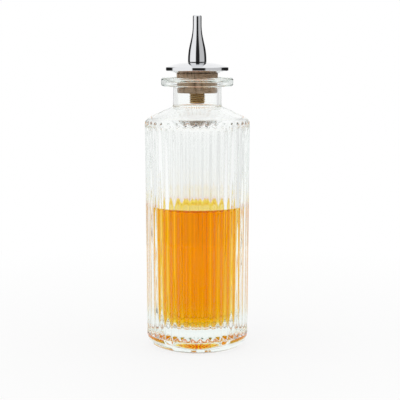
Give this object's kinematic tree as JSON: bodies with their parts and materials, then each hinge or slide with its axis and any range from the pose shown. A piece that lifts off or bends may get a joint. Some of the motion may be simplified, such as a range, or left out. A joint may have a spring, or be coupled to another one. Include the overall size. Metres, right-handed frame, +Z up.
{
  "type": "bitters bottle",
  "caption": "Clear reeded glass bottle of amber bitters, closed by a tapered cork that carries a chromed dasher spout on a threaded brass shank.",
  "frame": {"origin": "centre of the bottle's foot, on the surface it stands on", "axes": "+Z up along the bottle's axis, towards the dash hole; -Y towards the viewer of the picture"},
  "size_m": [0.0496, 0.0496, 0.157],
  "materials": {
    "clear_glass": "polished",
    "amber_liquid": "gloss",
    "cork": "matte",
    "brass": "satin",
    "chrome": "polished"
  },
  "bodies": {
    "bottle": {"glass_bottle": "clear_glass", "bitters_liquid": "amber_liquid"},
    "stopper": {"cork_stopper": "cork"},
    "flange": {"dasher_flange": "chrome"},
    "dasher": {"dasher_spout": "chrome", "threaded_shank": "brass"}
  },
  "joints": [
    {"name": "stopper_pull", "type": "slide", "parent": "bottle", "child": "stopper", "axis": [0, 0, 1], "range_m": [0, 0.03]},
    {"name": "dasher_rise", "type": "slide", "parent": "stopper", "child": "flange", "axis": [0, 0, 1], "range_m": [0, 0.014]},
    {"name": "dasher_unscrew", "type": "hinge", "parent": "flange", "child": "dasher", "pos_m": [0, 0, 0.13], "axis": [0, 0, 1], "range_deg": [0, 5040]}
  ],
  "couplings": [
    {"joint": "dasher_unscrew", "follows": "dasher_rise", "rad_per_m": 6283.2}
  ]
}
